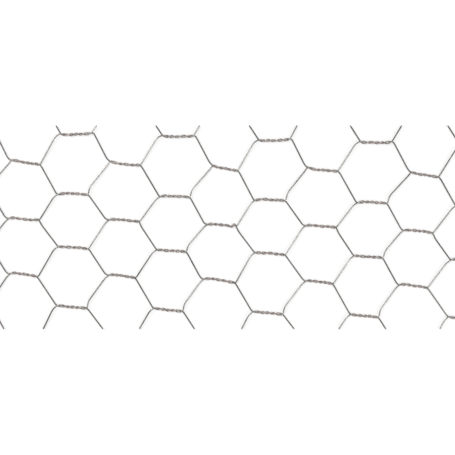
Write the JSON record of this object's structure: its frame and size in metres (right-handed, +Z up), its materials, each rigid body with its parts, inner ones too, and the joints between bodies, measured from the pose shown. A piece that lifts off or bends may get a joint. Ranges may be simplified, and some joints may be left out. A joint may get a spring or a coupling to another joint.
{
  "type": "hexagonal wire netting",
  "caption": "Flat cut length of hexagonal wire netting: galvanised wires zigzag side by side and twist together in pairs round open six-sided meshes, with snipped ends along both edges.",
  "frame": {"origin": "on the floor under the middle of the piece", "axes": "+X along the netting, the way that it comes off its roll; +Y across it, towards the upper edge of the picture; +Z up from the floor that it lies on"},
  "size_m": [0.51, 0.176, 0.0027],
  "materials": {
    "galvanised_wire": "zinc coated, dulled by weather"
  },
  "bodies": {
    "root": {"line_wire_1": "galvanised_wire", "line_wire_2": "galvanised_wire", "line_wire_3": "galvanised_wire", "line_wire_4": "galvanised_wire", "line_wire_5": "galvanised_wire", "line_wire_6": "galvanised_wire", "upper_cut_ends": "galvanised_wire", "lower_cut_ends": "galvanised_wire"}
  },
  "joints": []
}
